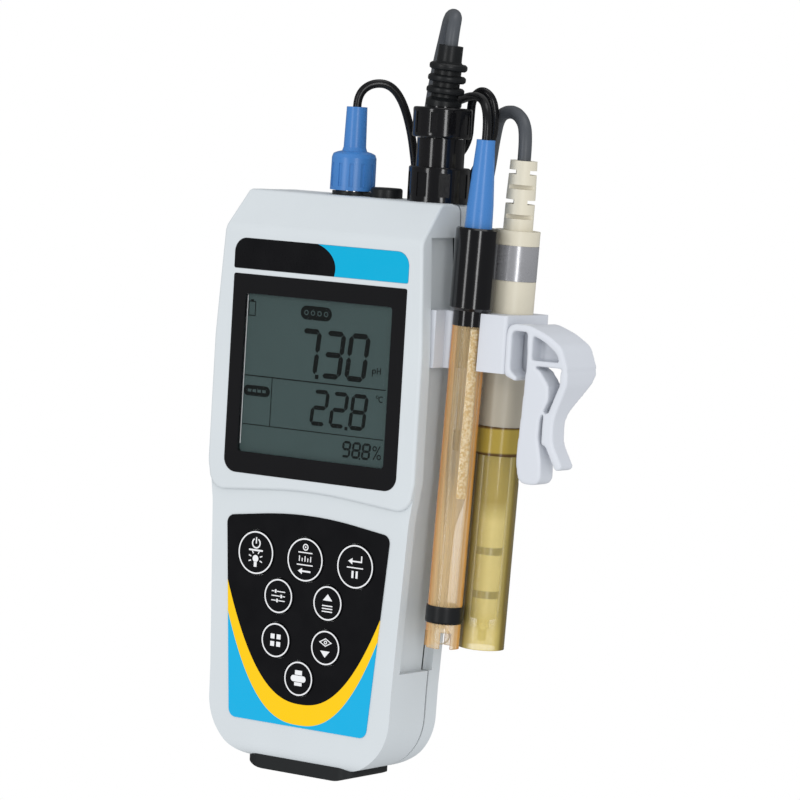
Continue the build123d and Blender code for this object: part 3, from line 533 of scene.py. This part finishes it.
ec_route = [
    relief_point(21), relief_point(26.8), (30.4, 10, 265.8), (23.2, 17, 265.8), (17.8, 23, 259.2),
    (12.4, 27.6, 248.7), (8.8, 29.8, 236), (6.8, 31.3, 221.9), (5, 32, 204.3), (-2, 32.3, 189),
    (-16, 32, 174), (-28, 31, 155), (-33, 30, 130), (-38, 29, 92), (-45, 28, 58),
    (-53.5, 26, 36), (-54, 24.2, 20.5), (-46.5, 23.6, 12.3),
    *coil_turns(12, 3.2),
    (-14, 23, 3.2), (0, 25, 8), (14, 27.5, 24), (22, 29.5, 50), (25.5, 30.5, 85), (26, 31, 125),
    (27, 31, 165), (30.5, 30.5, 194), (34.6, 29.8, 212), (35.9, 29.8, 224.3), (39.4, 27, 232.6),
    (50, 19.8, 234.4), (59.7, 12, 230.9), probe_point(EC_AXIS, 224.4), probe_point(EC_AXIS, 217.8)]
ec_cable = make_cord("ec_cable", ec_route, EC_CABLE_D, "grey_cable")
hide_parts("ec_cable_meter_side", "ec_cable_coil", "ec_cable_probe_side")

# ---------------------------------------------------------------- printed figures
LONGEST_MITRE = 2.5             # in half widths of the line


def band(points, width, closed=False):
    """Quads along a line of (x, z) points, `width` wide, with mitred corners."""
    count = len(points)
    sides = []
    for index, (x, z) in enumerate(points):
        before = points[index - 1] if closed or index else None
        after = points[(index + 1) % count] if closed or index < count - 1 else None
        runs = []
        for first, second in ((before, (x, z)), ((x, z), after)):
            if first and second:
                run = Vector(second) - Vector(first)
                runs.append(run.normalized())
        along = sum(runs, Vector((0, 0))).normalized()
        across = Vector((-along.y, along.x))
        stretch = max(abs(along.dot(runs[0])), 1 / LONGEST_MITRE)
        offset = across * (width / 2 / stretch)
        sides.append(((x + offset.x, z + offset.y), (x - offset.x, z - offset.y)))
    pairs = zip(sides, sides[1:] + sides[:1]) if closed else zip(sides, sides[1:])
    return [[a[0], a[1], b[1], b[0]] for a, b in pairs]


def arc(x, z, radius, first=0.0, last=360.0, steps=40):
    """(x, z) points on a circle, angles in degrees from +X towards +Z."""
    closed = abs(last - first) >= 360
    ends = steps if closed else steps + 1
    return [(x + radius * math.cos(math.radians(first + (last - first) * step / steps)),
             z + radius * math.sin(math.radians(first + (last - first) * step / steps)))
            for step in range(ends)]


def ring(x, z, radius, width, steps=48):
    return band(arc(x, z, radius, steps=steps), width, closed=True)


def panel(x0, x1, z0, z1):
    """Upright rectangle."""
    return [[(x0, z0), (x1, z0), (x1, z1), (x0, z1)]]


def pill(x, z, half, radius):
    """Bar with round ends."""
    right = arc(x + half - radius, z, radius, -90, 90, 12)
    left = arc(x - half + radius, z, radius, 90, 270, 12)
    return [right + left]


def printed(name, shapes, y, thick, slot, body):
    """Thin raised print: (x, z) polygons facing -Y, `thick` millimetres deep behind y."""
    mesh = bpy.data.meshes.new(name)
    build = bmesh.new()
    for shape in shapes:
        build.faces.new([build.verts.new(mm(x, y, z)) for x, z in shape])
    bmesh.ops.remove_doubles(build, verts=build.verts, dist=1e-7)
    front = list(build.faces)
    bmesh.ops.recalc_face_normals(build, faces=front)
    for face in front:
        if face.normal.y > 0:
            face.normal_flip()
    back = bmesh.ops.duplicate(build, geom=front + list(build.edges) + list(build.verts))
    moved = [entry for entry in back["geom"] if isinstance(entry, bmesh.types.BMVert)]
    bmesh.ops.translate(build, verts=moved, vec=mm(0, thick, 0))
    for face in [entry for entry in back["geom"] if isinstance(entry, bmesh.types.BMFace)]:
        face.normal_flip()
    twins = back["vert_map"]
    for edge in [edge for face in front for edge in face.edges if len(edge.link_faces) == 1]:
        a, b = edge.verts
        build.faces.new((a, b, twins[b], twins[a]))
    bmesh.ops.recalc_face_normals(build, faces=list(build.faces))
    build.to_mesh(mesh)
    build.free()
    mesh.materials.append(FINISH[slot])
    piece = bpy.data.objects.new(name, mesh)
    bpy.context.scene.collection.objects.link(piece)
    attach(piece, body)
    return piece


SEGMENTS = {"0": "abcdef", "2": "abged", "3": "abgcd", "7": "abc", "8": "abcdefg", "9": "abcdfg"}


def digit(figure, x, z, width, height, stroke, lean):
    """Seven-segment figure with its lower left corner at (x, z)."""
    half = stroke / 2
    gap = stroke * 0.07
    mid = height / 2
    rails = {"a": ((0, height), (width, height)), "g": ((0, mid), (width, mid)),
             "d": ((0, 0), (width, 0)), "f": ((0, mid), (0, height)),
             "b": ((width, mid), (width, height)), "e": ((0, 0), (0, mid)),
             "c": ((width, 0), (width, mid))}
    shapes = []
    for letter in SEGMENTS[figure]:
        (x0, z0), (x1, z1) = rails[letter]
        if z0 == z1:
            outline = [(x0 + gap, z0), (x0 + gap + half, z0 - half), (x1 - gap - half, z0 - half),
                       (x1 - gap, z0), (x1 - gap - half, z0 + half), (x0 + gap + half, z0 + half)]
        else:
            outline = [(x0, z0 + gap), (x0 + half, z0 + gap + half), (x0 + half, z1 - gap - half),
                       (x0, z1 - gap), (x0 - half, z1 - gap - half), (x0 - half, z0 + gap + half)]
        shapes.append([(x + u + lean * v / height, z + v) for u, v in outline])
    return shapes


LCD_Y = -17.96
LCD_THICK = 0.04
MARK_THICK = 0.02
# text, x, z, width, height, stroke, pitch and lean of each row
READINGS = (("730", -7.8, 139.7, 7.0, 14.8, 1.85, 10.3, 1.4),
            ("228", -1.1, 122.9, 5.6, 11.1, 1.45, 8.2, 1.1),
            ("988", 12.9, 112.9, 2.8, 4.9, 0.85, 4.15, 0.5))
# x, z and half size
DECIMAL_POINTS = ((0.3, 139.0, 0.75), (13.9, 122.4, 0.6), (20.3, 112.6, 0.32))
# x, z, half width and end radius
FLAG_TOP = (-1.4, 160.8, 6.6, 2.4)
FLAG_SIDE = (-25.0, 131.8, 5.7, 1.85)


def readings():
    """Three rows of figures and their decimal points."""
    shapes = []
    for text, x, z, width, height, stroke, pitch, lean in READINGS:
        for place, figure in enumerate(text):
            shapes += digit(figure, x + place * pitch, z, width, height, stroke, lean)
    for x, z, half in DECIMAL_POINTS:
        shapes += panel(x - half, x + half, z - half, z + half)
    return shapes


def row_rules():
    """Thin lines that divide the rows."""
    return (panel(-30.4, 29.6, 136.8, 137.2) + panel(-18.8, -18.5, 120.1, 136.8)
            + panel(-30.6, 29.6, 119.8, 120.1))


def battery_sign():
    cell = [(-30.4, 157.9), (-27.6, 157.9), (-27.6, 162.8), (-30.4, 162.8)]
    return band(cell, 0.35, closed=True) + panel(-29.6, -28.4, 162.98, 163.5)


def unit_signs():
    """Degrees C, pH and percent."""
    shapes = ring(26.2, 134.4, 0.45, 0.25, 16) + band(arc(27.9, 133.7, 0.95, 50, 310, 16), 0.35)
    shapes += band([(23.6, 141.2), (23.6, 143.6)], 0.36) + ring(24.3, 143.0, 0.6, 0.34, 16)
    for x in (25.6, 26.9):
        shapes += band([(x, 142.2), (x, 144.4)], 0.36)
    shapes += panel(25.78, 26.72, 143.15, 143.45)
    shapes += band([(26.0, 112.9), (28.6, 117.7)], 0.45)
    for x, z in ((26.4, 116.7), (28.3, 113.9)):
        shapes += ring(x, z, 0.72, 0.42, 20)
    return shapes


def flag_marks():
    """Four rings on the top flag and four blocks on the side one."""
    shapes = []
    for index in range(4):
        shapes += ring(-5.6 + index * 2.8, 160.8, 0.75, 0.34, 16)
    for index in range(4):
        shapes += panel(-28.9 + index * 2.1, -27.4 + index * 2.1, 131.3, 132.3)
    return shapes


# the first piece is a painted highlight: a white strip at the LCD's left edge for light caught by
# the bezel's inner edge, not print, though it uses the white ink finish
for name, shapes, y, thick, slot in (
        ("lcd_edge_painted_highlight", panel(-31.1, -30.85, 113.0, 165.0), LCD_Y, LCD_THICK, "white_ink"),
        ("lcd_figures", readings() + row_rules() + battery_sign() + unit_signs(),
         LCD_Y, LCD_THICK, "lcd_ink"),
        ("lcd_flag_top", pill(*FLAG_TOP), LCD_Y, LCD_THICK, "lcd_ink"),
        ("lcd_flag_side", pill(*FLAG_SIDE), LCD_Y, LCD_THICK, "lcd_ink"),
        ("lcd_flag_marks", flag_marks(), LCD_Y - MARK_THICK, MARK_THICK, "lcd_panel")):
    printed(name, shapes, y, thick, slot, "meter")


# ---------------------------------------------------------------- key prints
def shifted(shapes, x, z):
    return [[(u + x, v + z) for u, v in shape] for shape in shapes]


def power_and_lamp():
    """Power sign over a lamp with rays."""
    shapes = band(arc(0, 3.3, 1.65, 120, 420, 24), 0.5) + panel(-0.25, 0.25, 3.2, 5.4)
    shapes += panel(-3.0, 3.0, 0.55, 1.15)
    lamp_z = -2.1
    shapes += [arc(0, lamp_z, 1.25, -60, 240, 24)] + panel(-0.6, 0.6, -5.0, -3.3)
    for angle in (20, 60, 120, 160, 200, 340):
        ray = (math.cos(math.radians(angle)), math.sin(math.radians(angle)))
        shapes += band([(reach * ray[0], lamp_z + reach * ray[1]) for reach in (2.0, 3.1)], 0.4)
    return shapes


def target_and_scale():
    """Target over a scale, and a back arrow under a rule."""
    shapes = ring(0, 4.4, 1.0, 0.4, 20) + panel(-0.3, 0.3, 4.1, 4.7) + panel(-3.0, 3.0, 2.3, 2.7)
    for tick in range(5):
        top = 1.3 - (tick % 2) * 0.7
        shapes += panel(-2.6 + tick * 1.2, -2.2 + tick * 1.2, -0.6, top)
    shapes += panel(-3.4, 3.4, -2.0, -1.6) + [[(-2.8, -4.0), (-1.0, -5.1), (-1.0, -2.9)]]
    return shapes + panel(-1.0, 2.6, -4.3, -3.7)


def return_and_hold():
    """Return arrow over two upright bars."""
    shapes = band([(2.6, 3.9), (2.6, 1.8), (-1.2, 1.8)], 0.5)
    shapes += [[(-3.0, 1.8), (-1.2, 0.7), (-1.2, 2.9)]] + panel(-3.4, 3.4, -0.6, -0.2)
    return shapes + panel(-1.3, -0.45, -4.0, -1.5) + panel(0.45, 1.3, -4.0, -1.5)


def sliders():
    """Three rules, each with a knob."""
    shapes = []
    for z, knob in ((1.6, -1.2), (0.0, 1.3), (-1.6, -0.4)):
        shapes += panel(-2.9, knob - 0.55, z - 0.18, z + 0.18)
        shapes += panel(knob + 0.55, 2.9, z - 0.18, z + 0.18)
        shapes += panel(knob - 0.35, knob + 0.35, z - 0.6, z + 0.6)
    return shapes


def arrow_and_stack():
    """Up arrow over three bars."""
    shapes = [[(-2.0, 0.9), (2.0, 0.9), (0, 3.2)]]
    for low, high in ((-1.1, -0.7), (-2.1, -1.7), (-3.1, -2.7)):
        shapes += panel(-2.2, 2.2, low, high)
    return shapes


def four_squares():
    shapes = []
    for x in (-1.3, 1.3):
        for z in (-1.3, 1.3):
            shapes += panel(x - 0.85, x + 0.85, z - 0.85, z + 0.85)
    return shapes


def eye_and_arrow():
    """Eye over a down arrow."""
    shapes = band([(-2.4, 1.9), (0, 3.2), (2.4, 1.9), (0, 0.6)], 0.35, closed=True)
    return shapes + ring(0, 1.9, 0.5, 0.35, 16) + [[(-2.0, -1.1), (0, -3.4), (2.0, -1.1)]]


def printer():
    """Sheet going into a machine and coming out."""
    return panel(-1.5, 1.5, 1.3, 2.9) + pill(0, 0, 3.2, 1.1) + panel(-1.6, 1.6, -2.5, -1.3)


KEY_PRINT_Y = -18.22
KEY_PRINT_THICK = 0.03
RING_INSET = RING_WIDTH = 0.5
# x, z, radius and legend
KEYS = ((-21.27, 75.5, 7.75, power_and_lamp), (0.0, 75.4, 7.75, target_and_scale),
        (21.27, 75.5, 7.75, return_and_hold), (-10.55, 61.5, 6.2, sliders),
        (10.55, 61.5, 6.2, arrow_and_stack), (-10.69, 46.0, 6.2, four_squares),
        (10.69, 46.0, 6.2, eye_and_arrow), (0.0, 33.85, 6.2, printer))

for number, (x, z, radius, legend) in enumerate(KEYS, start=1):
    shapes = ring(x, z, radius - RING_INSET, RING_WIDTH) + shifted(legend(), x, z)
    printed(f"key_{number}_print", shapes, KEY_PRINT_Y, KEY_PRINT_THICK, "white_ink",
            f"key_{number}")
